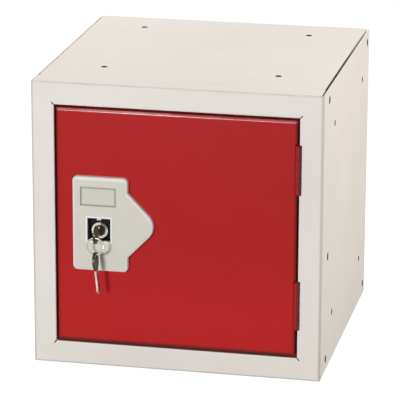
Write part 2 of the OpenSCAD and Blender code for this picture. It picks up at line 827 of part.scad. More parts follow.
module cam_washer() {
    color(steel_colour) at_lock(cam_y + cam_t) difference() {
        cylinder(r = cam_washer_r, h = cam_washer_t);
        translate([0, 0, -cut]) cylinder(r = screw_r + washer_clear, h = cam_washer_t + 2 * cut);
    }
}

module cam_screw() {
    color(steel_colour) at_lock(cam_y + cam_t + cam_washer_t) difference() {
        union() {
            cylinder(r = screw_head_r, h = screw_head_t);
            translate([0, 0, screw_air - screw_len - cam_washer_t])
                cylinder(r = screw_r, h = screw_len + cam_washer_t - screw_air + eps);
        }
        for (turn = [0, 90])
            rotate(turn) translate([-screw_head_r / 2, -cross_w / 2, screw_head_t / 2])
                cube([screw_head_r, cross_w, screw_head_t]);
    }
}

// Key drawn flat: the shoulder is at the origin, the blade runs to +y and the bow to -y
module key_body() {
    bit = [0.5, 1, 0.7, 1.1, 0.6];
    difference() {
        union() {
            translate([0, 0, -blade_t / 2]) linear_extrude(blade_t)
                polygon([[-blade_h / 2, -bow_t], [blade_h / 2, -bow_t],
                    [blade_h / 2, blade_len - blade_h / 3], [blade_h / 8, blade_len],
                    [-blade_h / 8, blade_len], [-blade_h / 2, blade_len - blade_h / 3]]);
            translate([-neck_h / 2, -bow_out, -bow_t / 2]) cube([neck_h, bow_out, bow_t]);
            translate([0, -bow_out, -bow_t / 2]) cylinder(r = bow_r, h = bow_t);
        }
        translate([0, -hole_out, -bow_t]) cylinder(r = hole_r, h = 2 * bow_t);
        for (side = [-1, 1], i = [0 : wafer_n - 1])
            translate([side * blade_h / 2, wafer_at(i), 0])
                rotate(45) cube([bit[i] * sqrt(2), bit[i] * sqrt(2), 2 * blade_t], center = true);
        for (side = [-1, 1])
            translate([side * blade_h / 5 - groove_w / 2, -bow_t, side > 0 ? blade_t / 4 : -5 * blade_t / 4])
                cube([groove_w, blade_len + bow_t + cut, blade_t]);
    }
}

module key() {
    color(nickel_colour) translate([lock_x, plug_face_y, lock_z]) rotate([0, 90, 0]) key_body();
}

// Split ring, standing parallel to the door, with its two turns side by side
module key_ring() {
    color(nickel_colour) translate([lock_x, ring_y, ring_z]) rotate([90, 0, 0]) rotate_extrude()
        for (side = [-1, 1]) translate([ring_r, side * ring_coil]) circle(r = wire_r, $fn = 24);
}

// Spare key, hanging from the ring with its blade down
module spare_key() {
    color(nickel_colour) translate([lock_x, ring_y, spare_hole_z]) rotate([0, -spare_lean, 0])
        translate([0, 0, -hole_out]) rotate([-90, 0, 0]) rotate([0, 90, 0]) key_body();
}

left_side();
right_side();
top_rail();
bottom_rail();
top_panel();
bottom_panel();
back_panel();
door_buffers();
upper_hinge_frame_leaf();
lower_hinge_frame_leaf();
upper_hinge_pin();
lower_hinge_pin();
upper_hinge_door_leaf();
lower_hinge_door_leaf();
door_panel();
lock_surround();
number_card();
lock_case();
lock_barrel();
lock_washer();
lock_nut();
lock_plug();
lock_wafers();
cam();
cam_washer();
cam_screw();
key();
key_ring();
spare_key();
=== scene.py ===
"""Small steel cube locker: paint, plating, mouldings, split ring, studio light and camera.

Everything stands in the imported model's frame: X to the right, Y from the front to the back,
Z up, in metres, with the origin in the middle of the base. The patterns in the finishes follow
Object coordinates, which are that same frame.
"""

import math

import bpy
from mathutils import Matrix, Vector


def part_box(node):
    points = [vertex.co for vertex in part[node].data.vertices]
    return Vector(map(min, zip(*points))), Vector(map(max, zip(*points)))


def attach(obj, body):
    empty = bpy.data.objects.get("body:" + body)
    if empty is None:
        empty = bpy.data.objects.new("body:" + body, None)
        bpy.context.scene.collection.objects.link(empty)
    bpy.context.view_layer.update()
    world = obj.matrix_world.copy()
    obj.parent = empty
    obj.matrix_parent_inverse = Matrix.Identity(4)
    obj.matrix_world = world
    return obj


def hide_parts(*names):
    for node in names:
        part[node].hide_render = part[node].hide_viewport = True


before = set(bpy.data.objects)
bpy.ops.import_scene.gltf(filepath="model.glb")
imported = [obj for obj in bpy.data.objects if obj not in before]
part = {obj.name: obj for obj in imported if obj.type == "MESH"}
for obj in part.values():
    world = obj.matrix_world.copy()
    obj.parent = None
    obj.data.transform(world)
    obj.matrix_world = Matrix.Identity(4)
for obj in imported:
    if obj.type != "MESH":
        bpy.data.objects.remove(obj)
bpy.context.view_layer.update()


# Side panels, front frame, trays and back
# The carcass is folded from 1 mm steel sheet: two sides that carry the stiles, two mitred rails,
# a top and a bottom tray and a back. It is spot welded, then powder coated in a warm light grey
# whose skin has a fine orange peel and whose outer folds are a little rubbed. Painted shade darkens
# its two front corners, the walls of its holes and the open seam at the top right. The edge of
# the opening carries painted shade, tinted with a painted reflection of the door's red.

CARCASS_NODES = ["left_side", "right_side", "top_rail", "bottom_rail",
                 "top_panel", "bottom_panel", "back_panel"]
HALF_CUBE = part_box("left_side")[1].z / 2
CUBE_MIDDLE = (0.0, 0.0, HALF_CUBE)
# Half the width, and half the height, of the opening that the door closes
OPENING_HALF = 0.128


class Finish:
    """One node material under construction: its tree, its shader and the place it is read from."""

    def __init__(self, name):
        self.material = bpy.data.materials.new(name)
        self.material.use_nodes = True
        self.tree = self.material.node_tree
        self.shader = self.tree.nodes["Principled BSDF"]
        self.place = self.add("ShaderNodeTexCoord").outputs["Object"]

    def add(self, kind, **settings):
        """A new node of this kind, with these settings."""
        node = self.tree.nodes.new(kind)
        for key, value in settings.items():
            setattr(node, key, value)
        return node

    def feed(self, socket, value):
        """Links value to the socket if it is an output, and otherwise writes it there."""
        if isinstance(value, bpy.types.NodeSocket):
            self.tree.links.new(value, socket)
        else:
            socket.default_value = value

    def sheen(self, metallic, roughness, specular):
        """What is the same all over the surface, written on the shader itself."""
        self.shader.inputs["Metallic"].default_value = metallic
        self.shader.inputs["Roughness"].default_value = roughness
        self.shader.inputs["Specular IOR Level"].default_value = specular

    def maths(self, operation, first, second=0.0):
        """One Math node."""
        node = self.add("ShaderNodeMath", operation=operation)
        self.feed(node.inputs[0], first)
        self.feed(node.inputs[1], second)
        return node.outputs[0]

    def product(self, first, *others):
        """All the values multiplied together."""
        for other in others:
            first = self.maths("MULTIPLY", first, other)
        return first

    def largest(self, first, *others):
        """The largest of the values."""
        for other in others:
            first = self.maths("MAXIMUM", first, other)
        return first

    def away(self, value):
        """How far value is from 0, on either side."""
        return self.maths("ABSOLUTE", value)

    def vector(self, operation, first, second=(0.0, 0.0, 0.0)):
        """One Vector Math node."""
        node = self.add("ShaderNodeVectorMath", operation=operation)
        self.feed(node.inputs[0], first)
        self.feed(node.inputs[1], second)
        return node.outputs["Value" if operation == "LENGTH" else "Vector"]

    def split(self, vector=None):
        """The three numbers of a vector, or else of the place."""
        node = self.add("ShaderNodeSeparateXYZ")
        self.feed(node.inputs[0], vector or self.place)
        return node.outputs

    def seen_from(self, middle):
        """The place's three numbers, counted from middle."""
        return self.split(self.vector("SUBTRACT", self.place, middle))

    def stretched(self, centre, scale):
        """The place, moved so that centre is the origin and scaled along each axis."""
        node = self.add("ShaderNodeMapping", vector_type="POINT")
        node.inputs["Location"].default_value = [-c * s for c, s in zip(centre, scale)]
        node.inputs["Scale"].default_value = scale
        self.feed(node.inputs["Vector"], self.place)
        return node.outputs["Vector"]

    def clouds(self, scale, detail=2.0, ragged=0.5, place=None):
        """Noise between 0 and 1, whose patches are about 1/scale metres wide."""
        node = self.add("ShaderNodeTexNoise")
        node.inputs["Scale"].default_value = scale
        node.inputs["Detail"].default_value = detail
        node.inputs["Roughness"].default_value = ragged
        self.feed(node.inputs["Vector"], place or self.place)
        return node.outputs[0]

    def ramp(self, value, low, high, at_low=0.0, at_high=1.0):
        """value, spread from low..high to at_low..at_high and held at the ends."""
        node = self.add("ShaderNodeMapRange", clamp=True)
        ends = {"From Min": low, "From Max": high, "To Min": at_low, "To Max": at_high}
        for name, number in ends.items():
            node.inputs[name].default_value = number
        self.feed(node.inputs["Value"], value)
        return node.outputs["Result"]

    def strip(self, value, rise, fall):
        """1 between rise and fall, and 0 outside. Each is a pair, over which that edge is soft."""
        return self.product(self.ramp(value, *rise), self.ramp(value, *fall, 1.0, 0.0))

    def blend(self, share, first, second):
        """A colour between first and second."""
        node = self.add("ShaderNodeMix", data_type="RGBA", blend_type="MIX")
        self.feed(node.inputs[0], share)
        for socket, colour in ((node.inputs[6], first), (node.inputs[7], second)):
            self.feed(socket, colour if isinstance(colour, bpy.types.NodeSocket) else (*colour, 1.0))
        return node.outputs[2]

    def mottled(self, share, colour, darker, lighter):
        """The colour, times darker where share is 0 and times lighter where it is 1."""
        return self.blend(share, [c * darker for c in colour], [min(1.0, c * lighter) for c in colour])

    def colour(self, value):
        """Sets the colour of the surface."""
        self.feed(self.shader.inputs["Base Color"], value)

    def roughness(self, value):
        """Sets the roughness of the surface."""
        self.feed(self.shader.inputs["Roughness"], value)

    def relief(self, height, depth, under=None):
        """Bumps the surface by height times depth, over an earlier relief if one is given."""
        node = self.add("ShaderNodeBump")
        node.inputs["Strength"].default_value = 1.0
        node.inputs["Distance"].default_value = depth
        self.feed(node.inputs["Height"], height)
        if under is not None:
            self.feed(node.inputs["Normal"], under)
        self.feed(self.shader.inputs["Normal"], node.outputs["Normal"])
        return node.outputs["Normal"]

    def put_on(self, names):
        """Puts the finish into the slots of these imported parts."""
        for name in names:
            for slot in part[name].material_slots:
                slot.material = self.material


# The two values that most of a noise lies between, and the high ones that only its specks reach
CLOUDY, SPECKS = (0.3, 0.7), (0.70, 0.78)


def powder_coat(name, colour, pinhole, gloss, peel, specular):
    """Powder coat: colour with faint clouds and pinholes, uneven gloss and an orange-peel skin."""
    coat = Finish(name)
    coat.sheen(metallic=0.0, roughness=gloss[1], specular=specular)
    cloudy = coat.mottled(coat.ramp(coat.clouds(7.0, 3.0), *CLOUDY), colour, 0.975, 1.02)
    coat.tone = coat.blend(coat.ramp(coat.clouds(420.0), *SPECKS, 0.0, 0.5), cloudy, pinhole)
    coat.colour(coat.tone)
    coat.gloss = coat.ramp(coat.clouds(26.0, 4.0, 0.6), *CLOUDY, *gloss)
    coat.roughness(coat.gloss)
    coat.relief(coat.clouds(650.0, 2.0, 0.4), peel)
    return coat


# How far in from the outer faces the folds are rubbed: from nothing to fully
FOLD_RUBBED = (0.0024, 0.0008)
# How far the painted shade down the front corners reaches: in from the sides, and back from the front
CORNER_WIDE, CORNER_DEEP = 0.0028, 0.007


def wear_folds_and_shade_corners(coat, wear_and_painted_light):
    """The coat's tone, worn on the cube's outer folds and darkened more down its two front corners as
    painted shade.
    """
    x, y, z = coat.seen_from(CUBE_MIDDLE)
    wide, deep, high = (coat.away(axis) for axis in (x, y, z))
    beside = coat.maths("MINIMUM", deep, coat.largest(wide, high))
    near_fold = coat.ramp(coat.maths("SUBTRACT", HALF_CUBE, beside), *FOLD_RUBBED)
    patchy = coat.ramp(coat.clouds(55.0, 5.0, 0.65), 0.35, 0.66, 0.45, 0.85)
    from_corner = coat.largest(coat.ramp(wide, HALF_CUBE - CORNER_WIDE, HALF_CUBE, 1.0, 0.0),
                               coat.ramp(y, -HALF_CUBE, -HALF_CUBE + CORNER_DEEP))
    # Painted shade of the rounded fold down each front corner
    corner_shade = coat.ramp(from_corner, 0.5, 1.0, 0.9, 0.0)
    return coat.blend(coat.largest(coat.product(near_fold, patchy), corner_shade), coat.tone, wear_and_painted_light)


# The punched holes: the middle of each pattern, half its pitch, the axes it lies on, and the radius.
# They are the nesting holes of top and bottom, of the sides and of the back, then the sides' corner
# holes and the single hole of each side.
NESTING_RADIUS, CORNER_RADIUS = 0.00325, 0.004
HOLES = (((0.0, 0.014, 0.0), (0.0925, 0.0935, 0.0), (1, 1, 0), NESTING_RADIUS),
         ((0.0, 0.014, 0.1555), (0.0, 0.0935, 0.103), (0, 1, 1), NESTING_RADIUS),
         ((0.0, 0.0, 0.1555), (0.0925, 0.0, 0.103), (1, 0, 1), NESTING_RADIUS),
         ((0.0, 0.01175, 0.1525), (0.0, 0.12825, 0.140), (0, 1, 1), CORNER_RADIUS),
         ((0.0, -0.1125, 0.124), (0.0, 0.0, 0.0), (0, 1, 1), CORNER_RADIUS))
# How far out from a hole's edge the painted shade on its wall fades
HOLE_WALL = (0.00005, 0.0004)


def in_holes(coat):
    """1 on the walls of the punched holes, and 0 elsewhere."""
    share = 0.0
    for middle, half_pitch, lies_on, radius in HOLES:
        folded = coat.vector("ABSOLUTE", coat.vector("SUBTRACT", coat.place, middle))
        off = coat.vector("MULTIPLY", coat.vector("SUBTRACT", folded, half_pitch), lies_on)
        beyond = coat.maths("SUBTRACT", coat.vector("LENGTH", off), radius)
        share = coat.largest(coat.ramp(beyond, *HOLE_WALL, 1.0, 0.0), share)
    return share


# The open seam between the top tray and the right side, each pair being a soft edge of its painted shade
SEAM_LEFT, SEAM_RIGHT = (0.1485, 0.1490), (0.1516, 0.1518)
SEAM_FOOT, SEAM_TOP = (0.290, 0.295), (0.3046, 0.3049)
SEAM_FRONT, SEAM_FADES = (-0.1518, -0.1515), (-0.01, 0.15)


def in_seam(coat):
    """1 in the open seam, less towards the back, and 0 elsewhere."""
    x, y, z = coat.split()
    along = coat.product(coat.ramp(y, *SEAM_FRONT), coat.ramp(y, *SEAM_FADES, 1.0, 0.3))
    return coat.product(coat.strip(x, SEAM_LEFT, SEAM_RIGHT), coat.strip(z, SEAM_FOOT, SEAM_TOP), along)


# The opening's edge, painted dark red as shade in the door's gap with a painted reflection of the door:
# how far out from it the red goes, where along Y it begins and fades, and its share
RED_OUT, RED_BEGINS, RED_FADES = (0.0003, 0.0006), (-0.1521, -0.1517), (-0.1455, -0.1410)
RED_SHARE = 0.95


def gap_shade_on_opening(coat):
    """RED_SHARE on the opening's edge, which the closed door leaves a gap to, and 0 elsewhere: painted
    shade.
    """
    x, y, z = coat.seen_from(CUBE_MIDDLE)
    out = coat.maths("SUBTRACT", coat.largest(coat.away(x), coat.away(z)), OPENING_HALF)
    return coat.product(coat.ramp(out, *RED_OUT, 1.0, 0.0), coat.ramp(y, *RED_BEGINS),
                        coat.ramp(y, *RED_FADES, RED_SHARE, 0.0))


carcass_coat = powder_coat("warm_grey_powder_coat", colour=(0.80, 0.745, 0.682), pinhole=(0.66, 0.61, 0.55),
                           gloss=(0.42, 0.56), peel=0.000022, specular=0.2)
# Wear and painted shade on the folds; painted shade tinted as a painted red reflection in the gap; painted
# shade in holes and seam
WORN_AND_SHADED_GREY, GAP_SHADE_RED, PAINTED_SHADE_DARK = (0.56, 0.515, 0.465), (0.250, 0.056, 0.048), (0.030, 0.026, 0.022)
marked = carcass_coat.blend(gap_shade_on_opening(carcass_coat), wear_folds_and_shade_corners(carcass_coat, WORN_AND_SHADED_GREY),
                            GAP_SHADE_RED)
# Painted shade on the walls of the holes and in the open seam
hole_and_seam_shade = carcass_coat.largest(in_holes(carcass_coat), in_seam(carcass_coat))
carcass_coat.colour(carcass_coat.blend(hole_and_seam_shade, marked, PAINTED_SHADE_DARK))
carcass_coat.put_on(CARCASS_NODES)


# Door buffers
# Two soft black rubber discs on the stop lip, which the closing door meets. They are moulded,
# stuck on, and slightly greyed by handling.

def rubber(name):
    """Soft rubber: uneven dark grey, dull, with a fine rough skin."""
    skin = Finish(name)
    skin.sheen(metallic=0.0, roughness=0.8, specular=0.3)
    skin.colour(skin.blend(skin.clouds(160.0, 3.0), (0.018, 0.018, 0.018), (0.045, 0.044, 0.042)))
    skin.roughness(skin.ramp(skin.clouds(90.0), *CLOUDY, 0.68, 0.9))
    skin.relief(skin.clouds(1400.0), 0.00004)
    return skin


rubber("black_rubber").put_on(["door_buffers"])


# Hinges
# Two steel butt hinges behind the gap at the right. One leaf of each is welded to the stile and
# one to the door. Leaves and pins were sprayed with the door's red; on the stile's side of the gap
# their red turns to a dark brown, which is painted shade.

HINGE_NODES = ["upper_hinge_frame_leaf", "lower_hinge_frame_leaf", "upper_hinge_pin",
               "upper_hinge_door_leaf", "lower_hinge_door_leaf", "lower_hinge_pin"]
# Across the gap the red turns to a brown that is painted shade
RED_ENDS, BROWN_BEGINS = 0.1262, 0.1298
GAP_SHADE_BROWN = (0.120, 0.025, 0.020)

hinge_coat = powder_coat("red_hinge_coat", colour=(0.360, 0.0180, 0.0155), pinhole=(0.22, 0.035, 0.028),
                         gloss=(0.42, 0.58), peel=0.00002, specular=0.12)
towards_stile = hinge_coat.ramp(hinge_coat.split()[0], RED_ENDS, BROWN_BEGINS)
hinge_coat.colour(hinge_coat.blend(towards_stile, hinge_coat.tone, GAP_SHADE_BROWN))
hinge_coat.put_on(HINGE_NODES)


# Door
# A shallow pan folded from 1 mm steel sheet, with rounded front folds and lips turned in behind.
# It is powder coated in a semi-gloss signal red, smoother than the carcass. The top fold is glossy
# near the lock and carries a pale painted highlight there; painted shade darkens the other folds,
# in the gap, and painted light makes the red lighter towards the foot.

def front_view(name):
    """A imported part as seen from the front: its middle, with Y at 0, its half width and half height."""
    low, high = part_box(name)
    middle, half = (low + high) / 2, (high - low) / 2
    return (middle.x, 0.0, middle.z), half.x, half.z


DOOR_MIDDLE, DOOR_HALF_WIDTH, DOOR_HALF_HEIGHT = front_view("door_panel")
# Heights, from the door's middle, between which the painted light on the foot fades out
LIT_FOOT_FADES = (-0.085, -0.020)
# The glossy top fold: how much smoother it is, and the weight and roughness of the clear skin on it
TOP_SMOOTHER, TOP_COAT, TOP_COAT_ROUGHNESS = 0.14, 0.45, 0.22
# Depth below the door's top: the gloss ends, and the painted highlight on the fold begins and ends
TOP_GLOSS_ENDS, HIGHLIGHT_BEGINS, HIGHLIGHT_ENDS = (0.0026, 0.0040), (0.0001, 0.0006), (0.0016, 0.0024)
# Places along X between which the gloss and the painted highlight grow from the left and fade to the right
HIGHLIGHT_GROWS, HIGHLIGHT_FADES = (-0.125, -0.095), (-0.030, 0.050)
# Distance in from the door's sides and foot, and place along Y, over which the painted shade in the gap
# fades
GAP_SHADE_EDGE, GAP_SHADE_DEPTH, GAP_SHADE_SHARE = (0.0010, 0.0038), (-0.148, -0.144), 0.65


def finish_folds(coat, lit_foot, wear_and_painted_light, gap_shade):
    """Paints light on the foot, makes the top fold glossy with a painted highlight, and paints shade on the
    folds in the gap.
    """
    x, y, z = coat.seen_from(DOOR_MIDDLE)
    below_top = coat.maths("SUBTRACT", DOOR_HALF_HEIGHT, z)
    near_lock = coat.product(coat.ramp(x, *HIGHLIGHT_GROWS, 0.6, 1.0), coat.ramp(x, *HIGHLIGHT_FADES, 1.0, 0.4))

    glossy = coat.ramp(below_top, *TOP_GLOSS_ENDS, 1.0, 0.0)
    coat.roughness(coat.maths("SUBTRACT", coat.gloss, coat.product(glossy, TOP_SMOOTHER)))
    coat.shader.inputs["Coat Roughness"].default_value = TOP_COAT_ROUGHNESS
    coat.feed(coat.shader.inputs["Coat Weight"], coat.product(glossy, near_lock, TOP_COAT))

    # A pale painted highlight on the top fold, near the lock
    patchy = coat.ramp(coat.clouds(38.0, 3.0, 0.6), 0.35, 0.65, 0.3, 0.7)
    painted_highlight = coat.product(coat.strip(below_top, HIGHLIGHT_BEGINS, HIGHLIGHT_ENDS), patchy, near_lock)
    # Painted shade on the side and foot folds, in the gap
    from_side = coat.maths("SUBTRACT", DOOR_HALF_WIDTH, coat.away(x))
    from_edge = coat.maths("MINIMUM", from_side, coat.maths("ADD", z, DOOR_HALF_HEIGHT))
    in_gap = coat.product(coat.ramp(from_edge, *GAP_SHADE_EDGE, 1.0, 0.0),
                          coat.ramp(y, *GAP_SHADE_DEPTH, GAP_SHADE_SHARE, 0.0))
    # Painted light: the red lighter towards the foot
    painted_lit_foot = coat.blend(coat.ramp(z, *LIT_FOOT_FADES, 1.0, 0.0), coat.tone, lit_foot)
    coat.colour(coat.blend(in_gap, coat.blend(painted_highlight, painted_lit_foot, wear_and_painted_light), gap_shade))


door_coat = powder_coat("red_powder_coat", colour=(0.415, 0.0105, 0.0110), pinhole=(0.30, 0.009, 0.009),
                        gloss=(0.32, 0.42), peel=0.000018, specular=0.15)
finish_folds(door_coat, lit_foot=(0.478, 0.0125, 0.0125), wear_and_painted_light=(0.62, 0.46, 0.43), gap_shade=(0.095, 0.010, 0.009))
door_coat.put_on(["door_panel"])


# Lock surround
# A light grey moulding with a rounded rim and an arrow nose, pegged to the door's face. The mould
# was spark eroded, so its face has a fine even grain. Its rim and collar are lightened as a painted
# highlight, and painted shade darkens the slit round the card and the face just around the window.

def moulding(name, colour, grain, gloss, specular):
    """A moulded plastic face: even colour, fine grain and slightly uneven sheen."""
    plastic = Finish(name)
    plastic.sheen(metallic=0.0, roughness=gloss[1], specular=specular)
    plastic.tone = plastic.mottled(plastic.ramp(plastic.clouds(34.0, 4.0), *CLOUDY), colour, 0.97, 1.02)
    plastic.colour(plastic.tone)
    plastic.roughness(plastic.ramp(plastic.clouds(120.0, 3.0), *CLOUDY, *gloss))
    plastic.relief(plastic.clouds(1800.0, 3.0, 0.6), grain)
    return plastic


COLLAR_PROUD = 0.0005
FACE_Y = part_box("lock_surround")[0].y + COLLAR_PROUD
# Depth behind the face: the rim begins and ends, the slit begins; the collar ends before the face
RIM_BEGINS, RIM_ENDS, SLIT_BEGINS = (0.0001, 0.0005), (0.0030, 0.0040), (0.0001, 0.0003)
COLLAR_ENDS = (-0.0003, -0.0001)
# How much wider and higher the two openings are on each side than what sits in them
WINDOW_MARGIN, LOCK_MARGIN = 0.0015, 0.00095
# Out of an opening, in parts of its half width: the rim begins, and the slit and its shade end
RIM_CLEAR, SLIT_ENDS, SHADE_ENDS, SHADE_SHARE = (1.0, 1.1), (0.98, 0.995), (0.96, 1.06), 0.30


def out_of_opening(plastic, filled_by, margin):
    """How far a place is from the middle of an opening, as seen from the front: 1 on its edge."""
    middle, half_width, half_height = front_view(filled_by)
    scale = (1.0 / (half_width + margin), 1.0, 1.0 / (half_height + margin))
    around = plastic.split(plastic.stretched(middle, scale))
    return plastic.largest(plastic.away(around[0]), plastic.away(around[2]))


def paint_rim_highlight_and_slit_shade(plastic, rim_highlight, slit_shade_grey):
    """Paints a highlight on the rim behind the face and the collar before it; paints shade in the slit
    round the card.
    """
    behind = plastic.maths("SUBTRACT", plastic.split()[1], FACE_Y)
    out_of_window = out_of_opening(plastic, "number_card", WINDOW_MARGIN)
    out_of_lock = out_of_opening(plastic, "lock_case", LOCK_MARGIN)
    rim = plastic.product(plastic.strip(behind, RIM_BEGINS, RIM_ENDS),
                          plastic.ramp(out_of_window, *RIM_CLEAR),
                          plastic.ramp(out_of_lock, *RIM_CLEAR))
    collar = plastic.ramp(behind, *COLLAR_ENDS, 1.0, 0.0)
    inside = plastic.product(plastic.ramp(out_of_window, *SLIT_ENDS, 1.0, 0.0),
                             plastic.ramp(behind, *SLIT_BEGINS))
    # Painted shade in the slit round the card and on the face just around it
    slit = plastic.largest(inside, plastic.ramp(out_of_window, *SHADE_ENDS, SHADE_SHARE, 0.0))
    # Painted highlight on the rim and the collar
    rim_highlighted = plastic.blend(plastic.largest(rim, collar), plastic.tone, rim_highlight)
    plastic.colour(plastic.blend(slit, rim_highlighted, slit_shade_grey))


surround_grey = moulding("light_grey_moulding", colour=(0.660, 0.626, 0.548), grain=0.000022,
                         gloss=(0.38, 0.52), specular=0.35)
paint_rim_highlight_and_slit_shade(surround_grey, rim_highlight=(0.84, 0.82, 0.79), slit_shade_grey=(0.33, 0.315, 0.27))
surround_grey.put_on(["lock_surround"])


# Number card
# A blank card of thin grey board, pushed into the window of the surround. Its fibres lie along X,
# and its border lies in the window's shade.

CARD_MIDDLE, CARD_HALF_WIDTH, CARD_HALF_HEIGHT = front_view("number_card")
CARD_SHADE_WIDE, CARD_SHADE_SHARE = 0.0016, 0.6
FIBRE_SCALE = (400.0, 400.0, 2200.0)

card = Finish("blank_grey_card")
card.sheen(metallic=0.0, roughness=0.75, specular=0.3)
card_fibres = card.clouds(1.0, 4.0, 0.7, card.stretched((0.0, 0.0, 0.0), FIBRE_SCALE))
card_grey = card.blend(card.ramp(card_fibres, *CLOUDY), (0.615, 0.600, 0.520), (0.655, 0.640, 0.560))
card_x, _, card_z = card.seen_from(CARD_MIDDLE)
past_border = card.largest(card.maths("SUBTRACT", card.away(card_x), CARD_HALF_WIDTH),
                           card.maths("SUBTRACT", card.away(card_z), CARD_HALF_HEIGHT))
in_shade = card.ramp(past_border, -CARD_SHADE_WIDE, 0.0, 0.0, CARD_SHADE_SHARE)
card.colour(card.blend(in_shade, card_grey, (0.35, 0.33, 0.28)))
card.relief(card_fibres, 0.00002)
card.put_on(["number_card"])


# Lock case
# A black moulded cup in the square opening, which the lock's head sits in. It is the same kind of
# moulding as the surround, clamped between it and the door.

case_black = moulding("black_case_moulding", colour=(0.0060, 0.0058, 0.0055), grain=0.00002,
                      gloss=(0.42, 0.58), specular=0.1)
case_black.put_on(["lock_case"])


# Lock barrel, washer and nut
# The barrel is a zinc die casting with a round head, turned bright and nickel plated; its body is
# threaded and has two flats. A spring washer and a hexagon nut clamp it behind the door.

def plated(name, colour, dulled, gloss, scratch_scale, scratch_depth):
    """Plated metal: slightly uneven colour, drawn scratches along one way, and uneven polish."""
    metal = Finish(name)
    metal.sheen(metallic=1.0, roughness=gloss[1], specular=0.5)
    metal.scratches = metal.clouds(1.0, 4.0, 0.7, metal.stretched((0.0, 0.0, 0.0), scratch_scale))
    metal.stains = metal.clouds(70.0, 4.0, 0.6)
    metal.tone = metal.blend(metal.ramp(metal.stains, 0.35, 0.75), colour, dulled)
    metal.colour(metal.tone)
    metal.roughness(metal.ramp(metal.stains, *CLOUDY, *gloss))
    metal.skin = metal.relief(metal.scratches, scratch_depth)
    return metal


LOCK_AXIS = front_view("lock_barrel")[0]
THREAD_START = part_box("door_panel")[0].y
THREAD_PITCH, THREAD_DEPTH, THREAD_RUNS_IN = 0.001, 0.0009, 0.0004
LATHE_MARK_DEPTH = 0.000004


def turned(metal, marks_per_metre):
    """Adds the fine rings that a lathe leaves round the lock's axis."""
    x, _, z = metal.seen_from(LOCK_AXIS)
    reach = metal.maths("SQRT", metal.maths("ADD", metal.product(x, x), metal.product(z, z)))
    wave = metal.maths("SINE", metal.product(reach, 2 * math.pi * marks_per_metre))
    metal.skin = metal.relief(metal.product(wave, 0.5), LATHE_MARK_DEPTH, metal.skin)


def threaded(metal):
    """Adds a screw thread behind THREAD_START: a ramp along Y that turns once for each pitch."""
    x, y, z = metal.seen_from(LOCK_AXIS)
    turn = metal.maths("DIVIDE", metal.maths("ARCTAN2", z, x), 2 * math.pi)
    along = metal.maths("ADD", metal.maths("DIVIDE", y, THREAD_PITCH), turn)
    ridge = metal.maths("PINGPONG", along, 0.5)
    behind = metal.ramp(y, THREAD_START, THREAD_START + THREAD_RUNS_IN)
    metal.skin = metal.relief(metal.product(ridge, behind), THREAD_DEPTH, metal.skin)


barrel_nickel = plated("bright_nickel", colour=(0.66, 0.63, 0.58), dulled=(0.50, 0.47, 0.42),
                       gloss=(0.12, 0.24), scratch_scale=(500.0, 500.0, 500.0), scratch_depth=0.000003)
turned(barrel_nickel, marks_per_metre=2500.0)
threaded(barrel_nickel)
barrel_nickel.put_on(["lock_barrel"])

clamp_zinc = plated("zinc_plate", colour=(0.52, 0.52, 0.51), dulled=(0.38, 0.38, 0.36), gloss=(0.26, 0.42),
                    scratch_scale=(260.0, 1400.0, 260.0), scratch_depth=0.00001)
clamp_zinc.put_on(["lock_washer", "lock_nut"])


# Plug and wafers
# The plug turns in the barrel: a zinc casting with the keyway and a square tail, darkened as painted shade.
# Five stamped brass wafers stand in its slots and drop into line when the right key is in.

# Its dark colour is painted shade inside the lock's head
plug_zinc_darkened = plated("plug_zinc_painted_shade", colour=(0.075, 0.058, 0.038), dulled=(0.035, 0.028, 0.020),
                   gloss=(0.34, 0.50), scratch_scale=(700.0, 700.0, 700.0), scratch_depth=0.000004)
turned(plug_zinc_darkened, marks_per_metre=3000.0)
plug_zinc_darkened.put_on(["lock_plug"])

wafer_brass = plated("stamped_brass", colour=(0.60, 0.42, 0.16), dulled=(0.40, 0.26, 0.09),
                     gloss=(0.25, 0.42), scratch_scale=(300.0, 1200.0, 900.0), scratch_depth=0.00001)
wafer_brass.put_on(["lock_wafers"])


# Cam, cam washer and cam screw
# A flat stamped cam on the plug's square tail, which passes behind the stop lip. A washer and a
# cross-headed screw hold it. All three are zinc plated steel.

cam_zinc = plated("cam_zinc", colour=(0.54, 0.53, 0.50), dulled=(0.40, 0.38, 0.34), gloss=(0.28, 0.44),
                  scratch_scale=(160.0, 900.0, 1500.0), scratch_depth=0.000012)
cam_zinc.put_on(["cam", "cam_washer", "cam_screw"])


# Keys
# Two stamped steel keys: one in the lock and the spare on the ring below it. Blades and necks are
# nickel plate, tinted warm as a painted reflection of the door's red, and the round bows are dark.

# How much of each key's length is dark, bow first, and how soft and how uneven the edge of the dark part is
KEY_DARK_LENGTH, SPARE_DARK_LENGTH = 0.0190, 0.01904
DARK_EDGE_SOFT, DARK_EDGE_UNEVEN = 0.0008, 0.0012
DARK_BOW_COLOUR = (0.042, 0.034, 0.020)


def dark_bowed_key(name, node, axis, dark_end, way, drawn):
    """Key steel whose bow is dark: the dark part ends at dark_end on that axis, and way says on which side.
    """
    # The blades' warm tint is a painted reflection of the door's red in the nickel
    steel = plated(name, colour=(0.52, 0.42, 0.36), dulled=(0.40, 0.32, 0.27), gloss=(0.28, 0.44),
                   scratch_scale=drawn, scratch_depth=0.000008)
    edge = steel.maths("ADD", steel.split()[axis], steel.product(steel.stains, DARK_EDGE_UNEVEN))
    dark_share = steel.ramp(edge, dark_end, dark_end + way * DARK_EDGE_SOFT)
    less_on_scratches = steel.ramp(steel.scratches, 0.55, 0.75, 1.0, 0.75)
    steel.colour(steel.blend(steel.product(dark_share, less_on_scratches), steel.tone, DARK_BOW_COLOUR))
    steel.put_on([node])


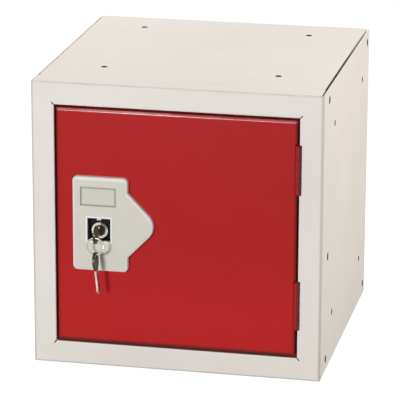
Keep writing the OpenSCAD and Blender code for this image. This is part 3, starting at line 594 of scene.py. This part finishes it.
dark_bowed_key("key_steel", "key", axis=1, dark_end=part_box("key")[0].y + KEY_DARK_LENGTH, way=-1,
           drawn=(900.0, 120.0, 900.0))
dark_bowed_key("spare_key_steel", "spare_key", axis=2, dark_end=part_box("spare_key")[1].z - SPARE_DARK_LENGTH, way=1,
           drawn=(900.0, 900.0, 120.0))


# Split ring
# A nickel-plated spring wire wound twice round. It steps from the first turn to the second beside
# the keys, where its two cut ends lie against the step.

# The ring's centre and the wire's sizes, in metres, and the angle that its step takes, in radians
RING_CENTRE = Vector((-0.0795, -0.1776, 0.13904))
RING_SIZES = {"Mean radius": 0.0089, "Wire radius": 0.00065, "Turn offset": 0.0006, "Step angle": 0.55}
WIRE_STEPS, WIRE_SIDES = 288, 14


def ring_tree(finish):
    """Geometry nodes that bend a wire twice round a circle, with one step between its turns."""
    tree = bpy.data.node_groups.new("split_ring_wire", "GeometryNodeTree")
    tree.interface.new_socket("Geometry", in_out="OUTPUT", socket_type="NodeSocketGeometry")
    for name, size in RING_SIZES.items():
        tree.interface.new_socket(name, in_out="INPUT", socket_type="NodeSocketFloat").default_value = size

    def add(kind, **settings):
        node = tree.nodes.new(kind)
        for key, value in settings.items():
            setattr(node, key, value)
        return node

    def feed(socket, value):
        if isinstance(value, bpy.types.NodeSocket):
            tree.links.new(value, socket)
        else:
            socket.default_value = value

    def maths(operation, first, second=0.0, third=0.0):
        node = add("ShaderNodeMath", operation=operation)
        for socket, value in zip(node.inputs, (first, second, third)):
            feed(socket, value)
        return node.outputs[0]

    sizes = add("NodeGroupInput").outputs
    straight = add("GeometryNodeCurvePrimitiveLine")
    cut_up = add("GeometryNodeResampleCurve")
    feed(cut_up.inputs["Curve"], straight.outputs["Curve"])
    feed(cut_up.inputs["Count"], WIRE_STEPS)

    # The wire starts half a step after the step's middle and ends half a step before it, two turns on
    half_step = maths("MULTIPLY", sizes["Step angle"], 0.5)
    span = maths("SUBTRACT", 4 * math.pi, sizes["Step angle"])
    angle = maths("MULTIPLY_ADD", add("GeometryNodeSplineParameter").outputs["Factor"], span, half_step)
    past_step = maths("DIVIDE", maths("SUBTRACT", angle, 2 * math.pi), half_step)
    side = maths("MAXIMUM", maths("MINIMUM", past_step, 1.0), -1.0)
    eased = maths("SINE", maths("MULTIPLY", side, 0.5 * math.pi))

    point = add("ShaderNodeCombineXYZ")
    radius = sizes["Mean radius"]
    feed(point.inputs[0], maths("MULTIPLY_ADD", maths("COSINE", angle), radius, RING_CENTRE.x))
    feed(point.inputs[1], maths("MULTIPLY_ADD", eased, sizes["Turn offset"], RING_CENTRE.y))
    feed(point.inputs[2], maths("MULTIPLY_ADD", maths("SINE", angle), radius, RING_CENTRE.z))
    bent = add("GeometryNodeSetPosition")
    feed(bent.inputs["Geometry"], cut_up.outputs["Curve"])
    feed(bent.inputs["Position"], point.outputs[0])

    section = add("GeometryNodeCurvePrimitiveCircle", mode="RADIUS")
    feed(section.inputs["Resolution"], WIRE_SIDES)
    feed(section.inputs["Radius"], sizes["Wire radius"])
    wire = add("GeometryNodeCurveToMesh")
    feed(wire.inputs["Curve"], bent.outputs["Geometry"])
    feed(wire.inputs["Profile Curve"], section.outputs["Curve"])
    feed(wire.inputs["Fill Caps"], True)
    solid = add("GeometryNodeRealizeInstances")
    feed(solid.inputs[0], wire.outputs["Mesh"])
    coated = add("GeometryNodeSetMaterial")
    feed(coated.inputs["Geometry"], solid.outputs[0])
    feed(coated.inputs["Material"], finish.material)
    feed(add("NodeGroupOutput").inputs["Geometry"], coated.outputs["Geometry"])
    return tree


def made_by(tree, name):
    """A plain mesh object, at the origin, of what the tree makes."""
    maker = bpy.data.objects.new(name + "_maker", bpy.data.meshes.new(name + "_maker"))
    bpy.context.scene.collection.objects.link(maker)
    modifier = maker.modifiers.new("maker", "NODES")
    modifier.node_group = tree
    for item in tree.interface.items_tree:
        if item.in_out == "INPUT":
            modifier[item.identifier] = item.default_value
    bpy.context.view_layer.update()
    evaluated = maker.evaluated_get(bpy.context.evaluated_depsgraph_get())
    made = bpy.data.objects.new(name, bpy.data.meshes.new_from_object(evaluated))
    made.data.name = name
    bpy.context.scene.collection.objects.link(made)
    maker.modifiers.remove(modifier)
    bpy.data.objects.remove(maker)
    return made


ring_nickel = plated("ring_nickel", colour=(0.66, 0.64, 0.60), dulled=(0.50, 0.47, 0.42),
                     gloss=(0.10, 0.20), scratch_scale=(500.0, 500.0, 500.0), scratch_depth=0.000002)
split_ring = made_by(ring_tree(ring_nickel), "split_ring")
for face in split_ring.data.polygons:
    face.use_smooth = True
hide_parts("key_ring")
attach(split_ring, "key_ring")


# Floor and background
# A matt white studio floor under a white sweep. The camera and the plating see both as white,
# and the floor keeps the locker's soft shadow.

FLOOR_REACH, FLOOR_DROP = 12.0, 0.0002
FLOOR_GREY, FLOOR_GLOW = (0.38, 0.38, 0.37), 0.84
SWEEP_WHITE, AMBIENT = (1.0, 1.0, 1.0), 0.13

floor_mesh = bpy.data.meshes.new("studio_floor")
floor_corners = [(FLOOR_REACH * x, FLOOR_REACH * y, 0.0) for x, y in ((-1, -1), (1, -1), (1, 1), (-1, 1))]
floor_mesh.from_pydata(floor_corners, [], [(0, 1, 2, 3)])
studio_floor = bpy.data.objects.new("studio_floor", floor_mesh)
bpy.context.scene.collection.objects.link(studio_floor)
studio_floor.location.z = -FLOOR_DROP


def seen_directly(tree):
    """1 for what the camera sees, also in a mirror or through glass, and 0 for light that spreads."""
    path = tree.nodes.new("ShaderNodeLightPath")
    seen = path.outputs["Is Camera Ray"]
    for name in ("Is Glossy Ray", "Is Transmission Ray"):
        larger = tree.nodes.new("ShaderNodeMath")
        larger.operation = "MAXIMUM"
        tree.links.new(seen, larger.inputs[0])
        tree.links.new(path.outputs[name], larger.inputs[1])
        seen = larger.outputs[0]
    return seen


floor_white = bpy.data.materials.new("studio_white")
floor_white.use_nodes = True
floor_nodes, floor_links = floor_white.node_tree.nodes, floor_white.node_tree.links
floor_nodes.remove(floor_nodes["Principled BSDF"])
matt = floor_nodes.new("ShaderNodeBsdfDiffuse")
matt.inputs["Color"].default_value = (*FLOOR_GREY, 1.0)
glow = floor_nodes.new("ShaderNodeEmission")
glow_strength = floor_nodes.new("ShaderNodeMath")
glow_strength.operation = "MULTIPLY"
glow_strength.inputs[1].default_value = FLOOR_GLOW
floor_links.new(seen_directly(floor_white.node_tree), glow_strength.inputs[0])
floor_links.new(glow_strength.outputs[0], glow.inputs["Strength"])
together = floor_nodes.new("ShaderNodeAddShader")
floor_links.new(matt.outputs[0], together.inputs[0])
floor_links.new(glow.outputs[0], together.inputs[1])
floor_links.new(together.outputs[0], floor_nodes["Material Output"].inputs["Surface"])
floor_mesh.materials.append(floor_white)

world = bpy.data.worlds.new("white_studio")
bpy.context.scene.world = world
world.use_nodes = True
sky = world.node_tree.nodes["Background"]
sky.inputs["Color"].default_value = (*SWEEP_WHITE, 1.0)
sky_strength = world.node_tree.nodes.new("ShaderNodeMapRange")
sky_strength.inputs["To Min"].default_value = AMBIENT
sky_strength.inputs["To Max"].default_value = 1.0
world.node_tree.links.new(seen_directly(world.node_tree), sky_strength.inputs["Value"])
world.node_tree.links.new(sky_strength.outputs["Result"], sky.inputs["Strength"])


# Lamps
# A key softbox in front, a little to the left of the door's normal and above it, a weak overhead
# bank, a near fill at the right and fills at the left and the rear left. Each lamp names the light
# that it gives a face turned to it.

LIGHT_AIM = Vector((0.0, -0.05, 0.15))


def softbox(name, turn, lift, distance, size, light, tint=(1.0, 1.0, 1.0)):
    """A square lamp, turn degrees right of the door's normal and lift degrees up, aimed at the locker."""
    lamp = bpy.data.lights.new(name, "AREA")
    lamp.color = tint
    lamp.shape = "RECTANGLE"
    lamp.size = lamp.size_y = size
    lamp.energy = light * math.pi * math.pi * distance ** 2
    a, e = math.radians(turn), math.radians(lift)
    way = Vector((math.sin(a) * math.cos(e), -math.cos(a) * math.cos(e), math.sin(e)))
    facing = way.to_track_quat("Z", "Y").to_matrix().to_4x4()
    holder = bpy.data.objects.new(name, lamp)
    holder.matrix_world = Matrix.Translation(LIGHT_AIM + way * distance) @ facing
    bpy.context.scene.collection.objects.link(holder)


softbox("key_softbox", turn=-11.0, lift=14.0, distance=3.2, size=0.45, light=0.69, tint=(0.985, 1.01, 1.04))
softbox("overhead_bank", turn=-60.0, lift=70.0, distance=2.0, size=1.0, light=0.05)
softbox("right_fill", turn=94.0, lift=30.0, distance=1.1, size=0.5, light=0.615, tint=(1.0, 0.972, 0.942))
softbox("left_fill", turn=-122.0, lift=18.0, distance=3.0, size=1.4, light=0.28)
softbox("rear_fill", turn=-125.0, lift=50.0, distance=1.3, size=0.8, light=0.42)


# Camera
# A long lens, to the right of the door's normal and above it, framed as the photograph is. It has
# no shift and no blur, and looks past the cube's middle by the two framing lengths.

LENS_MM, SENSOR_MM = 246.3, 36.0
CAMERA_TURN, CAMERA_LIFT, CAMERA_ROLL = math.radians(11.86), math.radians(16.71), math.radians(0.19)
CAMERA_DISTANCE = 2.9623
FRAMED_RIGHT, FRAMED_UP = 0.0064, 0.0099

back = Vector((math.sin(CAMERA_TURN) * math.cos(CAMERA_LIFT),
               -math.cos(CAMERA_TURN) * math.cos(CAMERA_LIFT), math.sin(CAMERA_LIFT)))
level_right = Vector((0.0, 0.0, 1.0)).cross(back).normalized()
level_up = back.cross(level_right)
right = level_right * math.cos(CAMERA_ROLL) + level_up * math.sin(CAMERA_ROLL)
up = level_up * math.cos(CAMERA_ROLL) - level_right * math.sin(CAMERA_ROLL)
stand = Vector(CUBE_MIDDLE) + back * CAMERA_DISTANCE - right * FRAMED_RIGHT - up * FRAMED_UP

camera = bpy.data.objects.new("camera", bpy.data.cameras.new("camera"))
camera.data.lens = LENS_MM
camera.data.sensor_width = SENSOR_MM
camera.matrix_world = Matrix.Translation(stand) @ Matrix((right, up, back)).transposed().to_4x4()
bpy.context.scene.collection.objects.link(camera)
bpy.context.scene.camera = camera
bpy.context.scene.view_settings.view_transform = "Standard"
